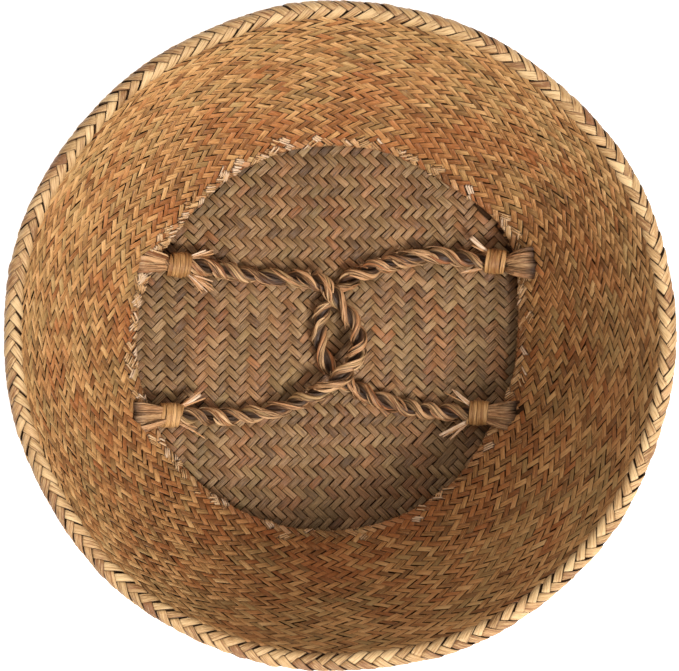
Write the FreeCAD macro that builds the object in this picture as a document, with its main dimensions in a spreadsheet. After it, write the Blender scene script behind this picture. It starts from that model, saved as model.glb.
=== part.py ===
"""A soft belly basket of woven seagrass, stored folded: its upper half is pushed down inside its lower half.

The basket stands on its round woven base. The lower wall rises and widens to the belly, where the weave folds over
in a ridge. From there the upper wall runs down inside as a funnel and ends at the rim, just above the base. Two
twisted rope handles are looped through holes beside the rim and lie across the base, the left one over the right.

Frame: millimetres, +Z up, origin at the centre of the base's underside, handles on the -X and +X sides.
"""

import FreeCAD, Part
import Sketcher
import math
import os
import re

from FreeCAD import Placement, Rotation, Vector

# Driving dimensions: alias, value in millimetres (or degrees), what it is.
SIZES = [
    ("belly_radius", 160.0, "outer radius at the fold, the widest place"),
    ("fold_height", 133.2, "height of the belly plane, where both walls end in the fold"),
    ("wall_thickness", 3.2, "woven wall, measured level"),
    ("fold_radius", 4.8, "outer radius of the rounded fold"),
    ("base_radius", 122.0, "outer radius where the base has turned up into the wall"),
    ("base_thickness", 3.0, "woven base"),
    ("base_turn_radius", 8.0, "rounding between base and lower wall"),
    ("lower_wall_bulge", 250.0, "arc radius of the lower wall's outline"),
    ("upper_wall_bulge", 400.0, "arc radius of the upper wall's outline"),
    ("rim_inset", 18.0, "how much smaller the opening's radius at the rim's edge is than the base's"),
    ("rim_height", 14.0, "height of the rim's edge above the ground"),
    ("border_height", 3.0, "turned-over edge of the weave, measured upright"),
    ("band_height", 19.2, "stiffer band round the opening, with its edge, measured upright"),
    ("band_flare", 10.2, "how much wider the band is at its top than at its edge"),
    ("seam_gap", 0.3, "play between the band, which moves, and the upper wall, which gives"),
    ("anchor_offset", 40.5, "distance of each handle end from the middle plane between them"),
    ("loop_margin", 3.8, "from the rim's edge to the middle of an anchor loop, along the wall"),
    ("loop_radius", 8.0, "centreline radius of an anchor loop"),
    ("loop_strand", 2.5, "radius of the strand that makes an anchor loop"),
    ("hole_clearance", 0.8, "room round the strand in its hole"),
    ("rope_radius", 4.5, "radius of the twisted rope"),
    ("rope_gap", 0.3, "clearance under a rope lying on the base"),
    ("crossing_gap", 0.7, "clearance between the ropes where one lies over the other"),
    ("winding_thickness", 2.0, "thickness of the raffia wound round a rope end"),
    ("lashing_length", 13.0, "length of the winding"),
    ("tail_length", 13.0, "loose strand ends past a lashing"),
    ("tail_width", 2.6, "width of a bundle of loose strand ends"),
    ("tail_thickness", 1.4, "thickness of a bundle of loose strand ends"),
]

# The opening's radius at the rim's edge, and how far a rope is lifted where it lies over the other one.
RIM_RADIUS = "(base_radius - rim_inset)"
CROSSING_LIFT = "2 * rope_radius + crossing_gap"

# The ropes' routes between their anchor loops, chosen by hand: x, y, and the rope's lift off the base as a share
# of the lift at a crossing.
LEFT_ROUTE = [
    (-70.5, 40.0, 0.35),
    (-53.0, 37.2, 0.02),
    (-37.0, 34.3, 0.00),
    (-20.0, 33.6, 0.14),
    (-8.5, 32.6, 0.64),
    (0.8, 29.2, 1.00),
    (12.2, 14.2, 1.06),
    (17.8, 3.8, 0.97),
    (18.2, -6.6, 0.96),
    (13.0, -16.6, 1.04),
    (2.6, -25.4, 1.03),
    (-11.5, -33.0, 0.49),
    (-28.0, -39.0, 0.06),
    (-46.0, -42.4, 0.00),
    (-65.0, -41.7, 0.27),
]
RIGHT_ROUTE = [
    (73.0, 44.3, 0.37),
    (57.5, 46.8, 0.03),
    (41.0, 43.0, 0.00),
    (25.5, 38.6, 0.00),
    (11.2, 31.2, 0.00),
    (1.6, 20.4, 0.00),
    (-3.0, 7.4, 0.00),
    (-2.0, -6.2, 0.00),
    (4.6, -17.4, 0.00),
    (15.6, -26.2, 0.00),
    (30.0, -33.4, 0.00),
    (46.4, -38.2, 0.02),
    (65.5, -39.8, 0.27),
]

# One entry per handle end: side along X, side along Y, and how far along the rope its lashing starts.
LEFT, RIGHT, UPPER, LOWER = -1, 1, 1, -1
ANCHORS = {
    "upper_left": (LEFT, UPPER, 1.5),
    "lower_left": (LEFT, LOWER, 0.0),
    "upper_right": (RIGHT, UPPER, 0.0),
    "lower_right": (RIGHT, LOWER, 0.5),
}

doc = FreeCAD.newDocument("belly_basket")
sheet = doc.addObject("Spreadsheet::Sheet", "sizes")
for row, (alias, value, meaning) in enumerate(SIZES, start=1):
    sheet.set(f"A{row}", meaning)
    sheet.set(f"B{row}", str(value))
    sheet.setAlias(f"B{row}", alias)
doc.recompute()


def size(expression):
    """The number that an expression of aliases comes to."""
    return float(sheet.evalExpression(expression))


def bind(thing, **expressions):
    """Ties an object's properties to expressions, whose every word is one of the sheet's aliases."""
    for name, expression in expressions.items():
        thing.setExpression(name, re.sub(r"[a-z]\w*", r"sizes.\g<0>", expression))


# ---------------------------------------------------------------- pieces made by turning a profile about Z


def origin_plane(body, role):
    return next(f for f in body.Origin.OriginFeatures if f.Role == role)


def arc_middle(start, end, radius, side):
    """The middle point of an arc from start to end, bulging to the right of the way (side 1) or the left (-1)."""
    along = end - start
    half = along.Length / 2
    rise = radius - math.sqrt(max(0.0, radius * radius - half * half))
    across = Vector(along.y, -along.x, 0).normalize()
    return (start + end) * 0.5 + across * rise * side


def turned(label, corners, arcs=None):
    """A ring-shaped body: a closed profile of corners (two expressions each, radius and height) turned about Z.

    arcs gives, for a side's number, the expression of its radius and which way it bulges; other sides are straight.
    A radius of None is a half circle, whose middle stays level with its ends.
    """
    arcs = arcs or {}
    body = doc.addObject("PartDesign::Body", label)
    sketch = body.newObject("Sketcher::SketchObject", label + "_profile")
    sketch.AttachmentSupport = [(origin_plane(body, "XZ_Plane"), "")]
    sketch.MapMode = "FlatFace"
    points = [Vector(size(r), size(z), 0) for r, z in corners]
    sides = len(points)
    ends = []
    for i in range(sides):
        a, b = points[i], points[(i + 1) % sides]
        if i in arcs:
            radius, side = arcs[i]
            number = size(radius) if radius else (b - a).Length / 2
            sketch.addGeometry(Part.Arc(a, arc_middle(a, b, number, side), b), False)
        else:
            sketch.addGeometry(Part.LineSegment(a, b), False)
        forward = (sketch.getPoint(i, 1) - a).Length < (sketch.getPoint(i, 2) - a).Length
        ends.append((1, 2) if forward else (2, 1))
    for i in range(sides):
        sketch.addConstraint(Sketcher.Constraint("Coincident", i, ends[i][1], (i + 1) % sides, ends[(i + 1) % sides][0]))
    for i, (r, z) in enumerate(corners):
        for kind, expression in (("DistanceX", r), ("DistanceY", z)):
            if kind == "DistanceY" and size(expression) == 0:
                sketch.addConstraint(Sketcher.Constraint("PointOnObject", i, ends[i][0], -1))
                continue
            constraint = Sketcher.Constraint(kind, -1, 1, i, ends[i][0], size(expression))
            name = f"{kind.lower()}_{i}"
            index = sketch.addConstraint(constraint)
            sketch.renameConstraint(index, name)
            bind(sketch, **{f"Constraints.{name}": expression})
    for i, (radius, _) in arcs.items():
        if radius is None:
            sketch.addConstraint(Sketcher.Constraint("Horizontal", i, 3, i, 1))
            continue
        index = sketch.addConstraint(Sketcher.Constraint("Radius", i, size(radius)))
        sketch.renameConstraint(index, f"radius_{i}")
        bind(sketch, **{f"Constraints.radius_{i}": radius})
    turn = body.newObject("PartDesign::Revolution", label + "_turn")
    turn.Profile = sketch
    turn.ReferenceAxis = (sketch, ["V_Axis"])
    turn.Angle = 360
    return body


def make_base_panel():
    """The flat woven disc that the basket stands on."""
    body = doc.addObject("PartDesign::Body", "base_panel")
    sketch = body.newObject("Sketcher::SketchObject", "base_panel_outline")
    sketch.AttachmentSupport = [(origin_plane(body, "XY_Plane"), "")]
    sketch.MapMode = "FlatFace"
    sketch.addGeometry(Part.Circle(Vector(0, 0, 0), Vector(0, 0, 1), size("base_radius - base_turn_radius")), False)
    sketch.addConstraint(Sketcher.Constraint("Coincident", 0, 3, -1, 1))
    sketch.addConstraint(Sketcher.Constraint("Radius", 0, size("base_radius - base_turn_radius")))
    sketch.renameConstraint(1, "radius")
    bind(sketch, **{"Constraints.radius": "base_radius - base_turn_radius"})
    pad = body.newObject("PartDesign::Pad", "base_panel_pad")
    pad.Profile = sketch
    bind(pad, Length="base_thickness")


def make_root_walls():
    """The base's rounded edge, the lower wall, the fold and the upper wall, each meeting the next on a level face."""
    flat = "base_radius - base_turn_radius"
    turned(
        "base_turn",
        [
            (flat, "0"),
            ("base_radius", "base_turn_radius"),
            ("base_radius - wall_thickness", "base_turn_radius"),
            (flat, "base_thickness"),
        ],
        {0: ("base_turn_radius", 1), 2: ("base_turn_radius", -1)},
    )
    turned(
        "lower_wall",
        [
            ("base_radius", "base_turn_radius"),
            ("belly_radius", "fold_height"),
            ("belly_radius - wall_thickness", "fold_height"),
            ("base_radius - wall_thickness", "base_turn_radius"),
        ],
        {0: ("lower_wall_bulge", 1), 2: ("lower_wall_bulge", -1)},
    )
    inside = "belly_radius - 2 * fold_radius"
    turned(
        "belly_fold",
        [
            ("belly_radius", "fold_height"),
            (inside, "fold_height"),
            (inside + " + wall_thickness", "fold_height"),
            ("belly_radius - wall_thickness", "fold_height"),
        ],
        {0: (None, 1), 2: (None, -1)},
    )
    band_top = RIM_RADIUS + " + band_flare"
    turned(
        "upper_wall",
        [
            (inside, "fold_height"),
            (band_top, "rim_height + band_height + seam_gap"),
            (band_top + " + wall_thickness", "rim_height + band_height + seam_gap"),
            (inside + " + wall_thickness", "fold_height"),
        ],
        {0: ("upper_wall_bulge", -1), 2: ("upper_wall_bulge", 1)},
    )


# ---------------------------------------------------------------- the rim, its holes and the loops through them


def anchor_middle(side_x, side_y):
    """The middle of an anchor loop: on the band's middle surface, loop_margin up from the edge."""
    up = size("loop_margin") * math.sin(band_slope())
    out = size("loop_margin") * math.cos(band_slope())
    radius = size(RIM_RADIUS + " + wall_thickness / 2") + out
    y = side_y * size("anchor_offset")
    return Vector(side_x * math.sqrt(radius * radius - y * y), y, size("rim_height") + up)


def band_slope():
    return math.atan2(size("band_height"), size("band_flare"))


def hole_direction(middle):
    """From a loop's middle up the wall, in the loop's own upright plane across the handle's axis."""
    radius = math.hypot(middle.x, middle.y)
    steepness = math.tan(band_slope()) * abs(middle.x) / radius
    return Vector(math.copysign(1, middle.x), 0, steepness).normalize()


def make_rim():
    """The band round the opening with four holes for the loops, and its turned-over edge."""
    border_top = RIM_RADIUS + " + band_flare * border_height / band_height"
    blank = turned(
        "rim_band_blank",
        [
            (border_top, "rim_height + border_height"),
            (border_top + " + wall_thickness", "rim_height + border_height"),
            (RIM_RADIUS + " + band_flare + wall_thickness", "rim_height + band_height"),
            (RIM_RADIUS + " + band_flare", "rim_height + band_height"),
        ],
    )
    turned(
        "rim_border",
        [
            (RIM_RADIUS, "rim_height"),
            (RIM_RADIUS + " + wall_thickness", "rim_height"),
            (border_top + " + wall_thickness", "rim_height + border_height"),
            (border_top, "rim_height + border_height"),
        ],
    )
    punches = []
    for name, (side_x, side_y, _) in ANCHORS.items():
        middle = anchor_middle(side_x, side_y)
        way = hole_direction(middle)
        across = Vector(-way.z, 0, way.x)
        punch = doc.addObject("Part::Cylinder", name + "_punch")
        bind(punch, Radius="loop_strand + hole_clearance", Height="6 * wall_thickness")
        start = middle + way * size("loop_radius") - across * size("3 * wall_thickness")
        punch.Placement = Placement(start, Rotation(Vector(0, 0, 1), across))
        punches.append(punch)
    tools = doc.addObject("Part::MultiFuse", "rim_punches")
    tools.Shapes = punches
    band = doc.addObject("Part::Cut", "rim_band")
    band.Base = blank
    band.Tool = tools


def make_loops():
    """The rope strand that goes through each hole and round the rim's edge, as a ring about the handle's hinge line."""
    for name, (side_x, side_y, _) in ANCHORS.items():
        loop = doc.addObject("Part::Torus", name + "_loop")
        bind(loop, Radius1="loop_radius", Radius2="loop_strand")
        loop.Placement = Placement(anchor_middle(side_x, side_y), Rotation(Vector(0, 0, 1), Vector(0, 1, 0)))


# ---------------------------------------------------------------- the handles


def rope_points(route, side_x):
    """The rope's whole route: out of one loop, along the chosen points, and into the other loop."""
    floor = size("base_thickness + rope_gap + rope_radius")
    lift = size(CROSSING_LIFT)
    middle = [Vector(x, y, floor + share * lift) for x, y, share in route]
    points = []
    for side_y, neighbour in ((UPPER, middle[0]), (LOWER, middle[-1])):
        loop = anchor_middle(side_x, side_y)
        points.append(loop + (neighbour - loop).normalize() * size("loop_radius + loop_strand / 2"))
    return [points[0], *middle, points[1]]


def rounded_path(points, label):
    """Straight runs joined by tangent arcs, each arc as large as its two runs allow."""
    share = 0.45
    edges, radii = [], []
    last = points[0]
    for a, b, c in zip(points, points[1:], points[2:]):
        back, ahead = (a - b), (c - b)
        reach = share * min(back.Length, ahead.Length)
        back.normalize()
        ahead.normalize()
        turn = math.pi - back.getAngle(ahead)
        radius = reach / math.tan(turn / 2)
        radii.append(radius)
        centre_way = (back + ahead).normalize()
        nearest = b + centre_way * (radius / math.cos(turn / 2) - radius)
        start, end = b + back * reach, b + ahead * reach
        edges.append(Part.LineSegment(last, start).toShape())
        edges.append(Part.Arc(start, nearest, end).toShape())
        last = end
    edges.append(Part.LineSegment(last, points[-1]).toShape())
    print(label, "radii, mm:", " ".join(f"{r:.0f}" for r in radii))
    return Part.Wire(edges)


def make_rope(label, points):
    """A handle's rope: a round tube along its route."""
    path = rounded_path(points, label)
    radius = size("rope_radius")
    start_way = (points[1] - points[0]).normalize()
    ring = Part.Wire([Part.Circle(points[0], start_way, radius).toShape()])
    rope = doc.addObject("Part::Feature", label)
    rope.Shape = path.makePipeShell([ring], True, False)
    expected = math.pi * radius * radius * path.Length
    print(f"{label}: length {path.Length:.1f} mm, volume {rope.Shape.Volume:.0f} of {expected:.0f} mm3")
    if abs(rope.Shape.Volume / expected - 1) > 0.01:
        raise ValueError(f"{label}: the tube's volume isn't its section times its length")


def make_lashing(name, start, way):
    """Raffia wound round a rope end, as a sleeve whose bore is the rope's size, turned along the rope."""
    turn = Rotation(Vector(0, 0, 1), way)
    outside = doc.addObject("Part::Cylinder", name + "_lashing_outside")
    bind(outside, Radius="rope_radius + winding_thickness", Height="lashing_length")
    bore = doc.addObject("Part::Cylinder", name + "_lashing_bore")
    bind(bore, Radius="rope_radius", Height="lashing_length + 2 * rope_radius")
    outside.Placement = Placement(start, turn)
    bore.Placement = Placement(start - way * size("rope_radius"), turn)
    lashing = doc.addObject("Part::Cut", name + "_lashing")
    lashing.Base = outside
    lashing.Tool = bore


def make_tails(name, start, way):
    """Two bundles of cut strand ends that stick out of a lashing, one on each side of the rope."""
    across = Vector(0, 0, 1).cross(way).normalize()
    up = way.cross(across)
    tails = []
    for side in (-1, 1):
        tail = doc.addObject("Part::Box", f"{name}_tail_{'left' if side < 0 else 'right'}")
        bind(tail, Length="tail_length", Width="tail_width", Height="tail_thickness")
        middle = side * size("rope_radius + rope_gap + tail_width / 2")
        corner = start + across * (middle - size("tail_width") / 2) - up * size("tail_thickness / 2")
        frame = FreeCAD.Matrix(
            way.x, across.x, up.x, corner.x, way.y, across.y, up.y, corner.y, way.z, across.z, up.z, corner.z, 0, 0, 0, 1
        )
        tail.Placement = Placement(frame)
        tails.append(tail)
    group = doc.addObject("Part::Compound", name + "_tails")
    group.Links = tails


def make_handles():
    """Each handle: the rope, and at its two ends the lashing and the loose strand ends."""
    for side_x, side_name, route in ((LEFT, "left", LEFT_ROUTE), (RIGHT, "right", RIGHT_ROUTE)):
        points = rope_points(route, side_x)
        make_rope(side_name + "_handle_rope", points)
        for end_name, end, inward in (("upper", points[0], points[1]), ("lower", points[-1], points[-2])):
            name = f"{end_name}_{side_name}"
            way = (inward - end).normalize()
            start = end + way * ANCHORS[name][2]
            make_lashing(name, start, way)
            make_tails(name, start + way * size("lashing_length"), way)


# ---------------------------------------------------------------- build, check, write

make_base_panel()
make_root_walls()
make_rim()
make_loops()
make_handles()
doc.recompute()

NODES = ["base_panel", "base_turn", "lower_wall", "belly_fold", "upper_wall", "rim_band", "rim_border"]
NODES += [side + "_handle_rope" for side in ("left", "right")]
NODES += [name + kind for name in ANCHORS for kind in ("_loop", "_lashing", "_tails")]

for thing in doc.Objects:
    if {"Invalid", "Error"} & set(thing.State):
        raise ValueError(f"{thing.Label} failed: {thing.State}")
os.makedirs("parts", exist_ok=True)
for label in NODES:
    piece = doc.getObjectsByLabel(label)[0]
    if piece.Shape.isNull() or not piece.Shape.isValid() or piece.Shape.Volume <= 0:
        raise ValueError(f"{label} has no valid solid")
for label in NODES:
    doc.getObjectsByLabel(label)[0].Shape.exportStep(f"parts/{label}.step")
print(len(NODES), "nodes written")
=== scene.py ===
"""A folded belly basket of woven seagrass: every strand of the weave, the rope handles and their bindings.

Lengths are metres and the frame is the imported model's: +Z up, the middle of the base's underside at the origin.
"""

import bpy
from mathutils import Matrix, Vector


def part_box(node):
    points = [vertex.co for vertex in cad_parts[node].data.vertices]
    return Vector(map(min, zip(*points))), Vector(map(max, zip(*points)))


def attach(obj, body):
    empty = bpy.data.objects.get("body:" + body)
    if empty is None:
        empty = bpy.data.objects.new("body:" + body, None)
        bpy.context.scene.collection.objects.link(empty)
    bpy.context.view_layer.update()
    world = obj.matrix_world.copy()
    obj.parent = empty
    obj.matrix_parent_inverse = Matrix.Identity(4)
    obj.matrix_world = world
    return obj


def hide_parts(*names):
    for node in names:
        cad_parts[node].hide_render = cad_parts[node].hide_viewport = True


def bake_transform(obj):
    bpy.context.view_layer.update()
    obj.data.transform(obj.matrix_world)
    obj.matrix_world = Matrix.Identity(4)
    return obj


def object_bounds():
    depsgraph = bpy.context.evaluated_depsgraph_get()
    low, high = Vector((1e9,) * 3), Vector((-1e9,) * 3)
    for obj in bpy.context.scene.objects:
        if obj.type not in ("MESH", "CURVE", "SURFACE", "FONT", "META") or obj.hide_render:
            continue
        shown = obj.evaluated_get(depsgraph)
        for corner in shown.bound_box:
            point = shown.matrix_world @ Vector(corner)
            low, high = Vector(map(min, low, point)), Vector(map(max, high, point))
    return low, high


bl_info = {
    "name": "Folded belly basket",
    "version": (1, 0, 0),
    "blender": (4, 5, 0),
    "location": "View3D > Sidebar > Basket",
    "description": "Weaves a folded seagrass basket with rope handles around its packed frame",
    "category": "Add Mesh",
}

import math

import bpy
import numpy as np
from bpy.props import FloatProperty, FloatVectorProperty, IntProperty, PointerProperty
from mathutils import Matrix, Vector

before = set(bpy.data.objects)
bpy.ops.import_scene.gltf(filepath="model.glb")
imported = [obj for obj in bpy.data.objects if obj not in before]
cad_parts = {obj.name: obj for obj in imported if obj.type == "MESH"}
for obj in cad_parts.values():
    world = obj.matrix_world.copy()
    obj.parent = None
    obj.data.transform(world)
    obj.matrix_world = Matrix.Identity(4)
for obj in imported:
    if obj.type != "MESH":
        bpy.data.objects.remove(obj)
CAD_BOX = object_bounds()

MM = 0.001
UP = np.array((0.0, 0.0, 1.0))

# The handles' routes, as in the part's source: x, y and the lift off the base as a share of a crossing's lift.
ROPE_RADIUS = 4.5 * MM
ROPE_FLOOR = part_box("base_panel")[1].z + 0.3 * MM + ROPE_RADIUS
CROSSING_LIFT = 2 * ROPE_RADIUS + 0.7 * MM
LEFT_ROUTE = [
    (-0.0705, 0.0400, 0.35),
    (-0.0530, 0.0372, 0.02),
    (-0.0370, 0.0343, 0.00),
    (-0.0200, 0.0336, 0.14),
    (-0.0085, 0.0326, 0.64),
    (0.0008, 0.0292, 1.00),
    (0.0122, 0.0142, 1.06),
    (0.0178, 0.0038, 0.97),
    (0.0182, -0.0066, 0.96),
    (0.0130, -0.0166, 1.04),
    (0.0026, -0.0254, 1.03),
    (-0.0115, -0.0330, 0.49),
    (-0.0280, -0.0390, 0.06),
    (-0.0460, -0.0424, 0.00),
    (-0.0650, -0.0417, 0.27),
]
RIGHT_ROUTE = [
    (0.0730, 0.0443, 0.37),
    (0.0575, 0.0468, 0.03),
    (0.0410, 0.0430, 0.00),
    (0.0255, 0.0386, 0.00),
    (0.0112, 0.0312, 0.00),
    (0.0016, 0.0204, 0.00),
    (-0.0030, 0.0074, 0.00),
    (-0.0020, -0.0062, 0.00),
    (0.0046, -0.0174, 0.00),
    (0.0156, -0.0262, 0.00),
    (0.0300, -0.0334, 0.00),
    (0.0464, -0.0382, 0.02),
    (0.0655, -0.0398, 0.27),
]

# Soft dents of the opening: direction in degrees, width in degrees, how far out in millimetres.
RIM_DENTS = [(30, 18, 9.5), (70, 15, 2), (140, 28, -5.5), (200, 40, -2.5), (260, 40, -1), (330, 12, -2.5)]

# Each handle end: side along X, side along Y, how far it lies outside its place in the frame, and how far
# along the rope its lashing starts.
ENDS = {
    "upper_left": (-1, 1, 0.0, 5.0 * MM),
    "lower_left": (-1, -1, 0.0, 0.5 * MM),
    "upper_right": (1, 1, 9.0 * MM, 0.0),
    "lower_right": (1, -1, 0.0, 0.0),
}

# In millimetres, how far each loop's fan leans along Y where it goes into the wall, and how far it
# stretches inwards to its lashing.
FANS = {
    "upper_left": (2.6, 5.5),
    "lower_left": (-1.5, 5.0),
    "upper_right": (0.5, 1.5),
    "lower_right": (-1.0, 4.0),
}

# Loose blades past each lashing: degrees away from the rope (left of its way in), length in millimetres, pale or not.
TAILS = {
    "upper_left": [(14, 11, 0), (20, 13, 0), (25, 9, 1), (-18, 12, 0), (-27, 14, 0), (-33, 12, 1), (-38, 10, 0)],
    "lower_left": [(24, 13, 0), (30, 14, 1), (35, 11, 0), (-16, 9, 0), (-24, 11, 0)],
    "upper_right": [(-38, 10, 1), (-30, 12, 1), (-22, 8, 0), (12, 12, 0), (18, 9, 0)],
    "lower_right": [(-26, 11, 0), (-34, 9, 1), (24, 13, 0), (33, 15, 1), (40, 12, 0)],
}


# ---------------------------------------------------------------- what a user would change


class BasketSizes(bpy.types.PropertyGroup):
    """Sizes of the weave, the ropes and their bindings."""

    strand_count: IntProperty(
        name="Strands round", description="Strands of one slant all the way round", default=128, min=32
    )
    strand_pitch: FloatProperty(
        name="Strand pitch", description="Width of a strand with its gap", default=4.0 * MM, unit="LENGTH"
    )
    base_cell: FloatProperty(
        name="Base crossing", description="Crossing of the base weave, across its points", default=5.7 * MM,
        unit="LENGTH",
    )
    strand_fill: FloatProperty(
        name="Strand fill", description="Share of the pitch that a strand covers", default=0.96, subtype="FACTOR"
    )
    strand_top: FloatProperty(
        name="Strand height", description="Top of a strand over the weave's middle", default=1.2 * MM, unit="LENGTH"
    )
    strand_dive: FloatProperty(
        name="Dive", description="How far a strand drops where it goes under", default=0.85 * MM, unit="LENGTH"
    )
    rope_lay: FloatProperty(
        name="Rope lay", description="Length of one full turn of the rope", default=25.5 * MM, unit="LENGTH"
    )
    rope_offset: FloatProperty(
        name="Strand offset", description="Rope strand's middle to the rope's middle", default=2.4 * MM,
        unit="LENGTH",
    )
    rope_strand: FloatProperty(
        name="Rope strand", description="Radius of one of the rope's two strands", default=2.55 * MM, unit="LENGTH"
    )
    lashing_length: FloatProperty(
        name="Lashing", description="Length of the binding round a rope end", default=13.5 * MM, unit="LENGTH"
    )


class BasketColours(bpy.types.PropertyGroup):
    """Colours of the dried grass, from shade to light, and of the stage."""

    wall_dark: FloatVectorProperty(
        name="Wall dark", description="Browner strands", subtype="COLOR", default=(0.200, 0.080, 0.025)
    )
    wall_mid: FloatVectorProperty(
        name="Wall", description="Golden strands", subtype="COLOR", default=(0.56, 0.280, 0.096)
    )
    wall_light: FloatVectorProperty(
        name="Wall light", description="Straw strands", subtype="COLOR", default=(0.74, 0.44, 0.185)
    )
    wall_red: FloatVectorProperty(
        name="Wall red", description="Red-brown blotches", subtype="COLOR", default=(0.40, 0.125, 0.034)
    )
    olive: FloatVectorProperty(
        name="Olive", description="Greener strands", subtype="COLOR", default=(0.36, 0.235, 0.088)
    )
    base_dark: FloatVectorProperty(
        name="Base dark", description="Darkest base strands", subtype="COLOR", default=(0.090, 0.043, 0.015)
    )
    base_mid: FloatVectorProperty(
        name="Base", description="Olive-brown base strands", subtype="COLOR", default=(0.200, 0.101, 0.038)
    )
    base_light: FloatVectorProperty(
        name="Base light", description="Palest base strands", subtype="COLOR", default=(0.36, 0.215, 0.095)
    )
    fold_light: FloatVectorProperty(
        name="Fold", description="Pale straw at the fold", subtype="COLOR", default=(0.68, 0.455, 0.225)
    )
    fold_mid: FloatVectorProperty(
        name="Fold shade", description="Golden straw at the fold", subtype="COLOR", default=(0.46, 0.265, 0.108)
    )
    # Darkest grass of the rope; the dark lengthwise lines also use it as painted shade in the rope's folds.
    rope_dark: FloatVectorProperty(
        name="Rope dark", description="Folds of the rope", subtype="COLOR", default=(0.075, 0.030, 0.011)
    )
    rope_light: FloatVectorProperty(
        name="Rope light", description="Palest blades of the rope", subtype="COLOR", default=(0.68, 0.42, 0.21)
    )
    rope_mid: FloatVectorProperty(
        name="Rope", description="Grass of the rope", subtype="COLOR", default=(0.33, 0.170, 0.070)
    )
    raffia: FloatVectorProperty(
        name="Raffia", description="Binding round the rope ends", subtype="COLOR", default=(0.38, 0.20, 0.066)
    )
    cut_end: FloatVectorProperty(
        name="Cut ends", description="Bleached cut ends", subtype="COLOR", default=(0.82, 0.61, 0.42)
    )
    # Painted shade: the dark colour of the gaps, and of strand edges where the edge value is high.
    gap: FloatVectorProperty(
        name="Gaps", description="Shaded grass behind the strands", subtype="COLOR", default=(0.030, 0.012, 0.005)
    )
    floor: FloatVectorProperty(
        name="Floor", description="Pale floor", subtype="COLOR", default=(0.92, 0.92, 0.92)
    )


# ---------------------------------------------------------------- shader maths


class Socket:
    """A number inside a shader. Arithmetic on it adds Math nodes."""

    def __init__(self, shader, link):
        self.shader = shader
        self.link = link

    def maths(self, operation, *values):
        return self.shader.node("ShaderNodeMath", {"operation": operation}, dict(enumerate(values)))

    def __add__(self, other):
        return self.maths("ADD", self, other)

    __radd__ = __add__

    def __sub__(self, other):
        return self.maths("SUBTRACT", self, other)

    def __rsub__(self, other):
        return self.maths("SUBTRACT", other, self)

    def __mul__(self, other):
        return self.maths("MULTIPLY", self, other)

    __rmul__ = __mul__

    def __truediv__(self, other):
        return self.maths("DIVIDE", self, other)

    def __pow__(self, other):
        return self.maths("POWER", self, other)


class Shader:
    """A material and the nodes in it."""

    def __init__(self, name):
        self.material = bpy.data.materials.new(name)
        self.material.use_nodes = True
        self.tree = self.material.node_tree
        self.tree.nodes.clear()

    def node(self, kind, settings=None, inputs=None, output=0):
        """Adds a node: its settings first (stops are a ramp's), then its sockets' values or links."""
        made = self.tree.nodes.new(kind)
        for name, value in (settings or {}).items():
            if name == "stops":
                for _ in value[2:]:
                    made.color_ramp.elements.new(0.5)
                for element, (place, colour) in zip(made.color_ramp.elements, value):
                    element.position = place
                    element.color = (*colour, 1.0)
            else:
                setattr(made, name, value)
        for key, value in (inputs or {}).items():
            if isinstance(value, Socket):
                self.tree.links.new(value.link, made.inputs[key])
            else:
                made.inputs[key].default_value = value
        return Socket(self, made.outputs[output]) if made.outputs else None

    def mix(self, factor, a, b, blend="MIX"):
        """Colour a turned into colour b by factor."""
        a, b = (c if isinstance(c, Socket) else (*c, 1.0) for c in (a, b))
        settings = {"data_type": "RGBA", "blend_type": blend, "clamp_factor": True}
        return self.node("ShaderNodeMix", settings, {0: factor, 6: a, 7: b}, 2)

    def value(self, name):
        """A number kept on the mesh's points."""
        return self.node("ShaderNodeAttribute", {"attribute_name": name}, output="Fac")

    def grain(self, along, across, detail=3.0, roughness=0.6):
        """Streaks that run along a strand: noise stretched over the strand's own map, in waves per metre."""
        strand = self.node("ShaderNodeUVMap", {"uv_map": "strand"})
        stretched = self.node("ShaderNodeMapping", None, {0: strand, 3: (along, across, 1.0)})
        inputs = {"Vector": stretched, "Scale": 1.0, "Detail": detail, "Roughness": roughness}
        return self.node("ShaderNodeTexNoise", {"noise_dimensions": "2D"}, inputs)

    def finish(self, colour, roughness, height, depth, specular=0.35):
        """Ends the material in a Principled surface with a bump of that depth."""
        normal = self.node("ShaderNodeBump", None, {"Height": height, "Strength": 0.7, "Distance": depth})
        inputs = {"Base Color": colour, "Roughness": roughness, "Normal": normal, "Specular IOR Level": specular}
        surface = self.node("ShaderNodeBsdfPrincipled", None, inputs)
        self.node("ShaderNodeOutputMaterial", None, {"Surface": surface})
        return self.material


def straw_material(name, dark, mid, light, colours, streaks=1.0, roughness=0.5):
    """Dried grass strands: tone from the strand's tint and streaks, olive to red by its redness, and painted shade at
    the edges.
    """
    s = Shader(name)
    broad, fine = s.grain(60, 1300), s.grain(230, 4600)
    tone = s.value("tint") + (broad - 0.5) * (1.2 * streaks) + (fine - 0.5) * (1.2 * streaks)
    stops = [(0.05, dark), (0.45, mid), (0.95, light)]
    colour = s.node("ShaderNodeValToRGB", {"stops": stops}, {"Fac": tone})
    redness = s.value("red")
    colour = s.mix(redness * (0.7 + (broad - 0.5) * 1.5), colour, colours.wall_red)
    colour = s.mix(redness * -0.75, colour, colours.olive)
    # Pale fine streaks: partly the grass's own pale fibres, partly painted highlights along them.
    colour = s.mix((fine - 0.60) * 3.8 * streaks, colour, light)
    # Dark lengthwise lines: partly the grass's own dark streaks, partly painted shade in its creases.
    colour = s.mix((0.41 - broad) * 6.0 * streaks, colour, dark)
    # Painted shade: where the edge value is high the strand takes the dark gap colour, along strands' sides, at tucked
    # ends, in rope creases and along strip rims.
    colour = s.mix(s.value("edge"), colour, colours.gap)
    height = broad * 0.9 + fine * 0.5
    return s.finish(colour, roughness + (fine - 0.5) * 0.3, height, 0.6 * MM)


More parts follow.
